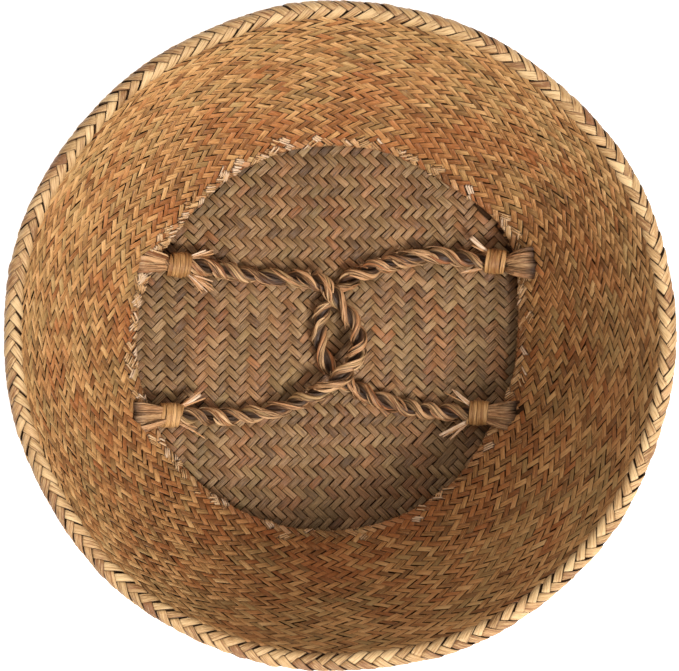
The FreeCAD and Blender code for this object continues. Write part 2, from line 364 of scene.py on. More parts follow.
def gap_material(colours):
    """The shaded back of the weave that shows between strands."""
    s = Shader("shaded_gap")
    place = s.node("ShaderNodeTexCoord", output="Object")
    speckle = s.node("ShaderNodeTexNoise", None, {"Vector": place, "Scale": 900.0, "Detail": 2.0})
    colour = s.mix(speckle, colours.gap, colours.base_dark)
    colour = s.mix(0.6, colour, colours.gap)
    return s.finish(colour, 0.9, speckle, 0.2 * MM, 0.1)


def material(name):
    """The finish of that name, made the first time that a piece asks for it. No name is a slot of the frame's."""
    found = bpy.data.materials.get(name)
    if found:
        return found
    c = bpy.context.scene.basket_colours
    made = {
        "wall_strands": lambda n: straw_material(n, c.wall_dark, c.wall_mid, c.wall_light, c),
        "base_strands": lambda n: straw_material(n, c.base_dark, c.base_mid, c.base_light, c),
        "fold_strands": lambda n: straw_material(n, c.wall_dark, c.fold_mid, c.fold_light, c),
        "rim_strands": lambda n: straw_material(n, c.wall_dark, c.wall_light, c.cut_end, c),
        "twisted_rope": lambda n: straw_material(n, c.rope_dark, c.rope_mid, c.rope_light, c, 1.2),
        "raffia_strip": lambda n: straw_material(n, c.wall_dark, c.raffia, c.wall_light, c, 0.8),
        "cut_blades": lambda n: straw_material(n, c.wall_dark, c.wall_mid, c.cut_end, c),
        "shaded_gap": lambda n: gap_material(c),
    }
    return made[name](name)


# ---------------------------------------------------------------- meshes from arrays


class Bundle:
    """Closed shapes gathered into one piece: points, faces, and values for the materials."""

    # edge is painted shade: 1 turns a point to the dark gap colour.
    VALUES = ("tint", "red", "edge")

    def __init__(self):
        self.points, self.faces, self.uv, self.values = [], [], [], []
        self.count = 0

    def add(self, points, faces, uv=None, tint=0.5, red=0.0, edge=0.0, slot=0, smooth=True):
        """Adds points (n, 3) and faces, a list of (m, k) index arrays; faces after the first set are flat."""
        n = len(points)
        self.points.append(points)
        self.uv.append(np.zeros((n, 2)) if uv is None else uv)
        self.values.append(np.stack([np.broadcast_to(v, n) for v in (tint, red, edge)]))
        for number, group in enumerate(faces):
            self.faces.append((group + self.count, slot, smooth and number == 0))
        self.count += n

    def piece(self, name, *materials):
        """Makes the mesh object, with its place in its mesh."""
        mesh = bpy.data.meshes.new(name)
        points = np.concatenate(self.points)
        corners = np.concatenate([group.ravel() for group, _, _ in self.faces])
        sizes = np.concatenate([np.full(len(group), group.shape[1]) for group, _, _ in self.faces])
        slots = np.concatenate([np.full(len(group), slot) for group, slot, _ in self.faces])
        smooth = np.concatenate([np.full(len(group), flag) for group, _, flag in self.faces])
        mesh.vertices.add(len(points))
        mesh.vertices.foreach_set("co", points.astype(np.float32).ravel())
        mesh.loops.add(len(corners))
        mesh.loops.foreach_set("vertex_index", corners.astype(np.int32))
        mesh.polygons.add(len(sizes))
        starts = np.concatenate([[0], np.cumsum(sizes)[:-1]])
        mesh.polygons.foreach_set("loop_start", starts.astype(np.int32))
        mesh.polygons.foreach_set("material_index", slots.astype(np.int32))
        mesh.polygons.foreach_set("use_smooth", smooth)
        mesh.update(calc_edges=True)
        uv = np.concatenate(self.uv)[corners]
        mesh.uv_layers.new(name="strand").data.foreach_set("uv", uv.astype(np.float32).ravel())
        for value_name, values in zip(self.VALUES, np.concatenate(self.values, axis=1)):
            kept = mesh.attributes.new(value_name, "FLOAT", "POINT")
            kept.data.foreach_set("value", values.astype(np.float32))
        for one in materials:
            mesh.materials.append(material(one))
        made = bpy.data.objects.new(name, mesh)
        bpy.context.scene.collection.objects.link(made)
        return made


def grid_faces(rows, columns, around=False):
    """Quads of a rows by columns grid of points, facing along (down the rows) x (along the columns)."""
    i, j = np.meshgrid(np.arange(rows - 1), np.arange(columns if around else columns - 1), indexing="ij")
    i, j = i.ravel(), j.ravel()
    k = (j + 1) % columns
    return np.stack([i * columns + j, (i + 1) * columns + j, (i + 1) * columns + k, i * columns + k], axis=1)


def ring_of(rows, columns):
    """The border of a rows by columns grid, in the order that faces the other way from its quads."""
    grid = np.arange(rows * columns).reshape(rows, columns)
    border = np.concatenate([grid[:, 0], grid[-1, 1:], grid[-2::-1, -1], grid[0, -2:0:-1]])
    return border[::-1]


def repeated(faces, count, points_each):
    """Faces of one shape repeated for count like shapes."""
    shifts = np.arange(count)[:, None, None] * points_each
    return (faces[None] + shifts).reshape(-1, faces.shape[1])


def smooth_step(t):
    t = np.clip(t, 0.0, 1.0)
    return t * t * (3 - 2 * t)


def waves(rng, count, slowest, fastest):
    """Slow random waves over two coordinates, as a function whose values stay near -1 to 1."""
    kx = rng.integers(slowest, fastest + 1, count) * rng.choice((-1, 1), count)
    ky = rng.uniform(0.1, 0.6, count)
    phase = rng.uniform(0, math.tau, count)
    size = 1.3 / math.sqrt(count)

    def field(angle, y):
        turn = kx * angle[..., None] + ky * y[..., None] + phase
        return size * np.sin(turn).sum(axis=-1)

    return field


# ---------------------------------------------------------------- the weave's surfaces


class RoundWeave:
    """The skin from the base's edge over the fold to the rim, as a profile turned about Z and cut into crossings.

    x counts crossings round the basket and y counts them along the profile, with y = 0 near the top of the fold.
    A crossing is 2 pi R / strands wide and pitch / sqrt(1 - (pitch / width)^2) high, so strands keep their width.
    """

    RIDGE_Y = -0.28

    def __init__(self, sizes):
        self.strands = sizes.strand_count
        rows = self.profile()
        step = np.diff(rows, axis=0)
        length = np.hypot(*step.T)
        width = math.tau * rows[:, 0] / self.strands
        height = sizes.strand_pitch / np.sqrt(1 - (sizes.strand_pitch / width) ** 2)
        y = np.concatenate([[0], np.cumsum(length * 2 / (height[1:] + height[:-1]))])
        top = np.argmax(rows[:, 1])
        self.y = y - y[top] + self.RIDGE_Y
        self.rows = rows
        way = np.gradient(rows, self.y, axis=0)
        way /= np.hypot(*way.T)[:, None]
        self.normal = np.stack([way[:, 1], -way[:, 0]], axis=1)
        upper = self.y > 0
        self.tip_y = float(self.y[upper][np.argmin(rows[upper, 0])])

    def profile(self):
        """Radius and height of the skin's middle, every half millimetre or so, from the base to past the rim."""
        flat, turn_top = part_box("base_panel")[1].x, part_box("base_turn")[1]
        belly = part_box("lower_wall")[1]
        half = (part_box("base_panel")[1].z) / 2
        fold_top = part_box("belly_fold")[1].z
        self.fold_z, self.rim_z = belly.z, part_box("rim_border")[0].z
        fold_radius = fold_top - belly.z - half
        wall = belly.x - half
        inside = wall - 2 * fold_radius
        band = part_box("rim_band")[1]
        edge_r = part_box("rim_border")[1].x - 2 * half - 0.0001
        band_r = band.x - half
        slope = math.atan2(band.z - self.rim_z, band_r - edge_r)
        lead = line((flat - 4 * MM, half), (flat, half))
        turn = arc((flat, half), (turn_top.x - half, turn_top.z), turn_top.z - half, 1)
        lower = arc((turn_top.x - half, turn_top.z), (wall, belly.z), 0.250, 1)
        fold = arc((wall, belly.z), (inside, belly.z), fold_radius, -1)
        upper = arc((inside, belly.z), (band_r, band.z), 0.400, -1)
        rim = line((band_r, band.z), (edge_r, self.rim_z))
        curl = 1.1 * MM
        middle = (edge_r + curl * math.sin(slope), self.rim_z - curl * math.cos(slope))
        angles = np.linspace(0, math.pi, 9)
        start = math.pi / 2 + slope
        turned = np.stack([middle[0] + curl * np.cos(start + angles), middle[1] + curl * np.sin(start + angles)], 1)
        back = line(turned[-1], turned[-1] + 7 * MM * np.array((math.cos(slope), math.sin(slope))))
        return np.concatenate([lead, turn[1:], lower[1:], fold[1:], upper[1:], rim[1:], turned[1:], back[1:]])

    def place(self, x, y, h):
        """Points at crossing x, y and height h over the skin's middle, with the basket's own unevenness."""
        angle = math.tau * x / self.strands
        r = np.interp(y, self.y, self.rows[:, 0]) + h * np.interp(y, self.y, self.normal[:, 0])
        z = np.interp(y, self.y, self.rows[:, 1]) + h * np.interp(y, self.y, self.normal[:, 1])
        r = r + self.unevenness(angle, y, z)
        return np.stack([r * np.cos(angle), r * np.sin(angle), z], axis=-1)

    def unevenness(self, angle, y, z):
        """A belly not quite round, and the dents of the opening that fade out towards the fold."""
        belly = (1.4 + 2.2 * np.cos(angle) + 0.5 * np.sin(2 * angle + 1.1) + 0.4 * np.sin(5 * angle)) * MM
        belly = belly + 0.3 * MM * np.sin(11 * angle + 2)
        share = np.clip(z / self.fold_z, 0, 1) ** 2
        depth = smooth_step((self.fold_z - z) / (self.fold_z - self.rim_z)) * (y > 0)
        return belly * share + rim_dent(angle) * depth

    def y_at(self, z, upper):
        """The y of a height on the upper or the lower wall."""
        side = (self.y > 0) & (self.y <= self.tip_y) if upper else self.y <= 0
        order = np.argsort(self.rows[side, 1])
        return float(np.interp(z, self.rows[side, 1][order], self.y[side][order]))

    def floats(self, low, high):
        """Every float whose middle has low <= y < high: its lattice place, slant and half length.

        Strand i of slant A shows where (j - i) mod 4 is 0 or 1, and strand j of slant B elsewhere, so floats are
        two crossings long, in bands round the basket.
        """
        k = np.arange(math.floor(low / 2) - 1, math.ceil(high / 2) + 1)
        i, k = (a.ravel() for a in np.meshgrid(np.arange(self.strands), k, indexing="ij"))
        a_s, a_t, a_y = i + 4 * k + 0.5, i + 0.0 * k, 2 * k + 0.25
        b_s, b_t, b_y = i + 0.0 * k, i - 2.5 - 4 * k, 2 * k + 1.25
        s, t, y = (np.concatenate(pair) for pair in ((a_s, b_s), (a_t, b_t), (a_y, b_y)))
        slant = np.concatenate([np.ones(len(i), bool), np.zeros(len(i), bool)])
        strand = np.concatenate([i, (i + self.strands) % (2 * self.strands)])
        kept = (y >= low) & (y < high)
        return Floats(s[kept], t[kept], slant[kept], np.ones(kept.sum()), strand[kept])


class FlatWeave:
    """The base: a square lattice of crossings, banded across X in two quadrants and across Y in the others."""

    def __init__(self, sizes):
        self.cell = sizes.base_cell
        self.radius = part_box("base_panel")[1].x
        self.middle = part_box("base_panel")[1].z / 2
        self.strands = sizes.strand_count

    def place(self, x, y, h):
        return np.stack([x * self.cell, y * self.cell, self.middle + h], axis=-1)

    def floats(self):
        """Runs of crossings where one strand lies on top, found along each strand of both slants.

        Slant A is on top where (j - i) mod 4 is 0 or 1 in the front and back quadrants, and where (i + j) mod 4
        is 0 or 1 in the left and right ones.
        """
        reach = math.ceil(math.sqrt(2) * self.radius / self.cell) + 2
        n = np.arange(-reach, reach + 1)
        i, j = np.meshgrid(n, n, indexing="ij")
        x, y = (i + j) / 2, (j - i) / 2
        sides = np.abs(x) > np.abs(y)
        on_top = np.where(sides, (i + j) % 4 < 2, (j - i) % 4 < 2)
        found = []
        for slant, rows in ((True, on_top), (False, ~on_top.T)):
            edges = np.diff(np.pad(rows, ((0, 0), (1, 1))).astype(int), axis=1)
            for row, start in zip(*np.nonzero(edges == 1)):
                end = start + np.argmax(edges[row, start:] == -1)
                middle = n[0] + (start + end - 1) / 2
                found.append((middle, n[row], slant, (end - start) / 2))
        along, strand, slant, half = (np.array(column) for column in zip(*found))
        slant = slant.astype(bool)
        s, t = np.where(slant, along, strand), np.where(slant, strand, along)
        # slant A: strand number is t and the run goes along s; slant B: strand number is s and the run along t
        far = np.hypot((s + t) / 2, (s - t) / 2) * self.cell
        kept = (far < self.radius - 1 * MM) & (half < 2.6)
        return Floats(s[kept], t[kept], slant[kept], half[kept], strand[kept] * 2 + slant[kept])


class Floats:
    """Lattice places of floats: s and t of their middles, slant, half length in crossings, and strand number."""

    def __init__(self, s, t, slant, half, strand):
        self.s, self.t, self.slant, self.half, self.strand = s, t, slant, half, strand.astype(int)

    @property
    def x(self):
        return (self.s + self.t) / 2

    @property
    def y(self):
        return (self.s - self.t) / 2

    def only(self, kept):
        return Floats(self.s[kept], self.t[kept], self.slant[kept], self.half[kept], self.strand[kept])


def line(start, end, step=0.8 * MM):
    """Points along a straight run."""
    start, end = np.array(start), np.array(end)
    count = max(2, math.ceil(np.hypot(*(end - start)) / step) + 1)
    return start + np.linspace(0, 1, count)[:, None] * (end - start)


def arc(start, end, radius, side, step=0.5 * MM):
    """Points along the arc of that radius from start to end, its middle on the left (side 1) or the right (-1).

    A fold, side -1 and an outward half circle, is the same formula with its middle on the chord.
    """
    start, end = np.array(start), np.array(end)
    chord = end - start
    half = np.hypot(*chord) / 2
    rise = math.sqrt(max(0.0, radius * radius - half * half))
    across = np.array((-chord[1], chord[0])) / (2 * half)
    centre = (start + end) / 2 + across * rise * side
    first = math.atan2(*(start - centre)[::-1])
    last = math.atan2(*(end - centre)[::-1])
    if rise == 0.0 or half >= radius * 0.999:
        last = first + math.pi
    turn = (last - first + math.pi) % math.tau - math.pi if half < radius * 0.999 else math.pi
    angles = first + np.linspace(0, 1, max(5, math.ceil(abs(turn) * radius / step))) * turn
    return centre + radius * np.stack([np.cos(angles), np.sin(angles)], axis=1)


def rim_dent(angle):
    """How far the opening's edge lies outside its round shape: a sum of soft bumps round the circle."""
    total = np.zeros_like(angle)
    for degrees, width, depth in RIM_DENTS:
        away = (angle - math.radians(degrees) + math.pi) % math.tau - math.pi
        total = total + depth * MM * np.exp(-((away / math.radians(width)) ** 2))
    return total


# ---------------------------------------------------------------- strands as closed pillows

# Columns across a strand, and rows along a float: a share of its half length, and crossings added to that.
ACROSS_FINE = (-1.0, -0.80, 0.0, 0.80, 1.0)
ACROSS_PLAIN = (-1.0, 0.0, 1.0)
TUCKED = 0.22
ROWS = ((-1, -TUCKED), (-1, 0.07), (0, 0), (1, -0.07), (1, TUCKED))
ROWS_PLAIN = (ROWS[0], ROWS[1], ROWS[3], ROWS[4])
ROWS_BENT = (*ROWS[:2], (-0.66, 0), (-0.33, 0), (0, 0), (0.33, 0), (0.66, 0), *ROWS[3:])


def add_floats(bundle, place, floats, sizes, rng, tint, red, rows=ROWS, across=ACROSS_FINE, **shape):
    """One closed pillow for each float, bent over the weave's surface; shape is lift, wide or loose.

    a runs along the float and v across it. The top's height is top + crown (1 - v^2) - lip v^4 - dive d^1.5 + roll v,
    where d grows from 0 just before a float's end to 1 where it lies tucked under its neighbour.
    """
    lift, wide, loose = (shape.get(key, plain) for key, plain in (("lift", 0.0), ("wide", 1.0), ("loose", 1.0)))
    n = len(floats.s)
    v = np.array(across)[None, None, :]
    half = floats.half[:, None, None]
    share, more = (np.array(column)[None, :, None] for column in zip(*rows))
    a = share * half + more + 0.0 * v
    width = 0.5 * sizes.strand_fill * wide * (1 + loose * rng.normal(-0.01, 0.045, n))[:, None, None]
    skew = loose * rng.normal(0, 0.035, n)[:, None, None]
    b = v * width + skew * a
    slant = floats.slant[:, None, None]
    s = floats.s[:, None, None] + np.where(slant, a, b)
    t = floats.t[:, None, None] + np.where(slant, -b, a)
    end = np.abs(a) - half
    crown, lip = 0.07 * MM, 0.24 * MM
    roll = loose * rng.normal(0, 0.13 * MM, n)[:, None, None]
    top = sizes.strand_top + loose * rng.normal(0, 0.09 * MM, n)[:, None, None] + lift
    dive = np.clip((end + 0.12) / (TUCKED + 0.12), 0, 1) ** 1.5
    h = top + crown * (1 - v * v) - lip * v**4 - sizes.strand_dive * dive + roll * v
    points = place((s + t) / 2, (s - t) / 2, h)
    columns = len(across)
    each = len(rows) * columns
    faces = [
        repeated(grid_faces(len(rows), columns), n, each),
        repeated(ring_of(len(rows), columns)[None], n, each),
    ]
    shift = rng.uniform(0, 4, (n, 1, 1))
    uv = np.stack([(a * 4.5 * MM + shift), (v * 2 * MM + 0 * a + shift * 1.7)], axis=-1)
    # Painted shade: thin dark lines along a strand's sides, and its end darkened where it dives under its neighbour.
    edge = 0.95 * np.clip((np.abs(v) - 0.80) / 0.20, 0, 1) + 0.9 * np.clip((end + 0.07) / (TUCKED + 0.07), 0, 1)
    bundle.add(
        points.reshape(-1, 3),
        faces,
        uv.reshape(-1, 2),
        tint=np.repeat(tint, each),
        red=np.repeat(red, each),
        edge=np.minimum(edge, 1).ravel(),
    )


def add_backing(bundle, weave, low, high, slot):
    """A thin closed shell along the weave's middle, from y low to high, in the gap colour: painted shade that shows in
    the gaps.
    """
    half = 0.15 * MM
    rows = max(3, round((high - low) * 2))
    y = np.concatenate([np.linspace(low, high, rows), np.linspace(high, low, rows)])
    h = np.concatenate([np.full(rows, half), np.full(rows, -half)])
    x = np.arange(weave.strands)
    points = weave.place(x[None, :] + 0.0 * y[:, None], y[:, None] + 0.0 * x[None, :], h[:, None] + 0.0 * x[None, :])
    faces = grid_faces(2 * rows, weave.strands, around=True)[:, ::-1]
    last = (2 * rows - 1) * weave.strands
    j = np.arange(weave.strands)
    k = (j + 1) % weave.strands
    seam = np.stack([last + j, last + k, k, j], axis=1)
    bundle.add(points.reshape(-1, 3), [np.concatenate([faces, seam])], slot=slot)


def strand_tints(floats, rng, spread=0.17, strands=256):
    """A tone for each float: half from its strand, half its own."""
    own = rng.normal(0, 1, strands * 2)
    return 0.46 + spread * (0.6 * own[floats.strand % (strands * 2)] + 0.85 * rng.normal(0, 1, len(floats.s)))


def wall_look(weave, floats, rng):
    """Tint and redness: straw at the fold, olive and gold below it, redder and blotched towards the rim.

    Redness runs from -1, olive, over 0, golden, to 1, red-brown.
    """
    blotch = waves(np.random.default_rng(5), 14, 2, 19)
    angle = math.tau * floats.x / weave.strands
    field = blotch(angle, floats.y)
    depth = np.clip(floats.y / weave.y_at(weave.rim_z, True), 0, 1)
    at_fold = np.exp(-((floats.y / 2.2) ** 2))
    # Darker and redder with depth towards the rim: partly the grass's own red-brown, partly painted shade deep in the
    # folded-in wall.
    tint = strand_tints(floats, rng, 0.19) + at_fold * np.where(floats.slant, 0.12, -0.10) - 0.27 * depth**0.9
    lean = -0.15 + 0.42 * depth**1.3 + 0.26 * field + 0.38 * rng.normal(0, 1, len(tint))
    return tint, np.clip(lean * (1 - 0.8 * at_fold), -0.9, 0.9)


def mirrored(place):
    """The same surface seen from its back: x turned round and heights measured the other way."""
    return lambda x, y, h: place(-x, y, -h)


# ---------------------------------------------------------------- ribbons, ropes and bindings


def add_ribbon(bundle, path, side, up, width, thickness, tint, red=0.0, edge=0.0, rims=0.0, sides=8):
    """A flat strip with rounded edges carried along a path: each ring is path + width cos a side + thickness sin a up.

    width and thickness are half sizes, one number or one for each point of the path. rims paints shade along the two
    rims, and edge is painted shade along the strip.
    """
    n = len(path)
    a = np.arange(sides) / sides * math.tau
    width, thickness = np.broadcast_to(width, n)[:, None, None], np.broadcast_to(thickness, n)[:, None, None]
    flat = np.sign(np.cos(a)) * np.abs(np.cos(a)) ** 0.7
    ring = path[:, None] + width * flat[None, :, None] * side[:, None]
    ring = ring + thickness * np.sin(a)[None, :, None] * up[:, None]
    step = np.concatenate([[0], np.cumsum(np.linalg.norm(np.diff(path, axis=0), axis=1))])
    uv = np.stack(np.broadcast_arrays(step[:, None], (a * float(width.mean()))[None, :]), axis=-1) + tint.mean() * 9
    faces = grid_faces(n, sides, around=True)
    caps = np.stack([np.arange(sides)[::-1], np.arange(sides) + (n - 1) * sides])
    facing = np.dot(np.cross(side[0], up[0]), path[1] - path[0])
    if facing > 0:
        faces, caps = faces[:, ::-1], caps
    else:
        caps = caps[:, ::-1]
    bundle.add(
        ring.reshape(-1, 3),
        [faces, caps],
        uv.reshape(-1, 2),
        tint=np.repeat(np.broadcast_to(tint, n), sides),
        red=red,
        edge=np.maximum(np.broadcast_to(edge, n)[:, None], rims * (np.abs(np.cos(a)) > 0.9)[None, :]).ravel(),
    )


def unit(vectors):
    return vectors / np.linalg.norm(vectors, axis=-1, keepdims=True)


def frames_along(path):
    """Way, side (level) and up at each point of a path."""
    way = unit(np.gradient(path, axis=0))
    side = unit(np.cross(UP, way))
    return way, side, np.cross(way, side)


def route_line(points):
    """Points along the smooth NURBS line that has these points as its control points."""
    curve = bpy.data.curves.new("route", "CURVE")
    curve.dimensions = "3D"
    curve.resolution_u = 24
    spline = curve.splines.new("NURBS")
    spline.points.add(len(points) - 1)
    for point, place in zip(spline.points, points):
        point.co = (*place, 1.0)
    spline.order_u = 3
    spline.use_endpoint_u = True
    route = bpy.data.objects.new("route", curve)
    bpy.context.scene.collection.objects.link(route)
    mesh = bpy.data.meshes.new_from_object(route.evaluated_get(bpy.context.evaluated_depsgraph_get()))
    found = np.empty(len(mesh.vertices) * 3, np.float32)
    mesh.vertices.foreach_get("co", found)
    bpy.data.objects.remove(route)
    bpy.data.curves.remove(curve)
    bpy.data.meshes.remove(mesh)
    return found.reshape(-1, 3).astype(float)


def evenly(path, step):
    """The same line with its points step apart, and the distance of each from its start."""
    far = np.concatenate([[0], np.cumsum(np.linalg.norm(np.diff(path, axis=0), axis=1))])
    wanted = np.linspace(0, far[-1], max(4, round(far[-1] / step)))
    return np.stack([np.interp(wanted, far, path[:, k]) for k in range(3)], axis=1), wanted


def loop_middle(name):
    """The middle of an anchor loop, and how far it lies outside its place in the frame."""
    low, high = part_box(name + "_loop")
    side_x, _, outside, _ = ENDS[name]
    return np.array((low + high) / 2) + np.array((side_x * outside, 0, outside * 0.35))


def handle_points(side_name, route):
    """The whole route of a handle: out of one loop, along the chosen points, into the other loop."""
    middle = [np.array((x, y, ROPE_FLOOR + share * CROSSING_LIFT)) for x, y, share in route]
    reach = 9.25 * MM
    ends = []
    for name, neighbour in (("upper_" + side_name, middle[0]), ("lower_" + side_name, middle[-1])):
        loop = loop_middle(name)
        ends.append(loop + unit(neighbour - loop) * reach)
    return [ends[0], *middle, ends[1]]


def add_rope(bundle, path, sizes, rng):
    """Two creased strands twisted round each other, and loose blades lying in the twist.

    A strand's middle is path + offset (cos p side + sin p up), p turning once in each lay; its ring has radius
    strand (1 - 0.34 |cos(lobe angle)|^5), and turns more slowly, so that its blades run nearly along it.
    """
    path, far = evenly(path, 0.6 * MM)
    way, side, up = frames_along(path)
    lobes, each = 5, 6
    count = lobes * each
    wobble = 0.35 * np.sin(far / (17 * MM) + rng.uniform(0, 6)) + 0.22 * np.sin(far / (7.3 * MM) + rng.uniform(0, 6))
    turn = math.tau * far / sizes.rope_lay + wobble
    for start in (0.0, math.pi):
        p = (turn + start)[:, None]
        spread = sizes.rope_offset * (1 + 0.10 * np.sin(far / (11 * MM) + start * 2))[:, None]
        middle = path + spread * (np.cos(p) * side + np.sin(p) * up)
        a = np.arange(count) / count * math.tau
        own = a[None, :] + 0.75 * turn[:, None] + 0.25 * np.sin(2 * a + start)[None, :]
        lobe_size = 1 + rng.uniform(-0.16, 0.16, lobes)[np.arange(count) // each]
        swell = 1 + 0.10 * np.sin(far / (5.1 * MM) + rng.uniform(0, 6))
        radius = sizes.rope_strand * (1 - 0.34 * np.abs(np.cos(a * lobes / 2)) ** 5) * lobe_size
        radius = radius[None, :] * swell[:, None]
        ring = middle[:, None] + radius[..., None] * (
            np.cos(own)[..., None] * side[:, None] + np.sin(own)[..., None] * up[:, None]
        )
        blade = np.arange(count) // each
        slow = np.stack([np.sin(far / (13 * MM) * (1 + 0.2 * k) + rng.uniform(0, 6)) for k in range(lobes)], axis=1)
        tint = 0.46 + 0.18 * rng.normal(0, 1, lobes)[blade][None, :] + 0.20 * slow[:, blade]
        # Painted shade: a dark line between the blades of each strand, and the side of each strand that faces the other
        # one, in the valley between them.
        painted_blade_shade = (np.arange(count) % each == 0)[None, :] * 0.92
        painted_valley_shade = np.clip(1.6 * (0.12 - np.cos(own - p)), 0, 0.95)
        uv = np.stack(np.broadcast_arrays(far[:, None], (a * 2.6 * MM)[None, :]), axis=-1) + start
        faces = grid_faces(len(path), count, around=True)[:, ::-1]
        caps = np.stack([np.arange(count)[::-1], np.arange(count) + (len(path) - 1) * count])[:, ::-1]
        bundle.add(
            ring.reshape(-1, 3),
            [faces, caps],
            uv.reshape(-1, 2),
            tint=tint.ravel(),
            red=np.broadcast_to(0.15 + 0.35 * rng.normal(0, 1, lobes)[blade], (len(path), count)).ravel(),
            edge=np.maximum(painted_blade_shade, painted_valley_shade).ravel(),
        )
    for _ in range(44):
        add_loose_blade(bundle, path, far, turn, side, up, sizes, rng)


def add_loose_blade(bundle, path, far, turn, side, up, sizes, rng):
    """A flat blade that follows one strand's outside for a while and lifts off a little at its ends."""
    length = rng.uniform(12, 30) * MM
    start = rng.uniform(6 * MM, far[-1] - length - 6 * MM)
    kept = (far >= start) & (far <= start + length)
    share = (far[kept] - start) / length
    p = turn[kept] + rng.choice((0.0, math.pi)) + 0.9 * np.cos(share * math.pi) + rng.normal(0, 0.25)
    p = p[:, None]
    out = np.cos(p) * side[kept] + np.sin(p) * up[kept]
    lift = 0.5 * MM * (2 * share - 1) ** 4 * rng.uniform(0, 1.4)
    reach = sizes.rope_offset + sizes.rope_strand * 0.90 + lift
    middle = path[kept] + out * reach[:, None]
    middle[:, 2] = np.maximum(middle[:, 2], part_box("base_panel")[1].z + 0.4 * MM)
    way = unit(np.gradient(middle, axis=0))
    flat = unit(np.cross(out, way))
    width = rng.uniform(0.45, 1.25) * MM * np.clip(np.sin(share * math.pi), 0.15, 1) ** 0.5
    tint = np.full(kept.sum(), rng.normal(0.55, 0.28))
    add_ribbon(bundle, middle, flat, out, width, 0.28 * MM, tint, red=rng.uniform(-0.2, 0.5), rims=0.6)


# ---------------------------------------------------------------- operators


def sizes_of(context):
    return context.scene.basket_sizes


def declare(piece, slot, *nodes):
    """Hides the nodes of the frame that a piece stands for. Its slot is not used."""
    if nodes:
        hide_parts(*nodes)
    return piece


class BASKET_OT_stage(bpy.types.Operator):
    """The camera straight above, the pale floor and the soft light"""

    bl_idname = "basket.stage"
    bl_label = "Stage and camera"

    def execute(self, context):
        scene = context.scene
        colours = scene.basket_colours
        data = bpy.data.cameras.new("camera")
        data.lens, data.sensor_width = 100.4, 36.0
        camera = bpy.data.objects.new("camera", data)
        camera.location = (-0.058, -0.014, 1.038)
        back = (camera.location - Vector((0, 0, CAD_BOX[1].z))).normalized()
        right = Vector((0, 1, 0)).cross(back).normalized()
        camera.rotation_mode = "QUATERNION"
        camera.rotation_quaternion = Matrix((right, back.cross(right), back)).transposed().to_quaternion()
        scene.collection.objects.link(camera)
        scene.camera = camera

        reach, under = 4.0, -1.0 * MM
        mesh = bpy.data.meshes.new("floor")
        corners = [(-reach, -reach, under), (reach, -reach, under), (reach, reach, under), (-reach, reach, under)]
        mesh.from_pydata(corners, [], [(0, 1, 2, 3)])
        floor = bpy.data.objects.new("floor", mesh)
        scene.collection.objects.link(floor)
        s = Shader("floor")
        inputs = {"Base Color": (*colours.floor, 1), "Roughness": 0.9, "Emission Color": (1, 1, 1, 1)}
        inputs["Emission Strength"] = 0.62
        surface = s.node("ShaderNodeBsdfPrincipled", None, inputs)
        s.node("ShaderNodeOutputMaterial", None, {"Surface": surface})
        mesh.materials.append(s.material)

        for name, place, size, power in (
            ("key_light", (0.66, -0.86, 1.60), 0.42, 46.0),
            ("fill_light", (-0.7, 0.6, 1.6), 1.4, 5.0),
        ):
            lamp = bpy.data.lights.new(name, "AREA")
            lamp.size, lamp.energy = size, power
            light = bpy.data.objects.new(name, lamp)
            light.location = place
            light.rotation_mode = "QUATERNION"
            light.rotation_quaternion = (Vector((0, 0, 0.05)) - light.location).to_track_quat("-Z", "Y")
            scene.collection.objects.link(light)

        world = bpy.data.worlds.new("studio")
        world.use_nodes = True
        background = world.node_tree.nodes["Background"]
        background.inputs["Color"].default_value = (1, 1, 1, 1)
        background.inputs["Strength"].default_value = 0.60
        scene.world = world
        scene.view_settings.view_transform = "Standard"
        return {"FINISHED"}


class BASKET_OT_ropes(bpy.types.Operator):
    """The two twisted rope handles, the left one lying over the right one"""

    bl_idname = "basket.ropes"
    bl_label = "Rope handles"

    def execute(self, context):
        sizes = sizes_of(context)
        for seed, (side_name, route) in enumerate((("left", LEFT_ROUTE), ("right", RIGHT_ROUTE))):
            path = route_line(handle_points(side_name, route))
            bundle = Bundle()
            add_rope(bundle, path, sizes, np.random.default_rng(31 + seed))
            rope = bundle.piece(side_name + "_rope", "twisted_rope")
            declare(rope, "rope_grass", side_name + "_handle_rope")
            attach(rope, side_name + "_handle")
        return {"FINISHED"}


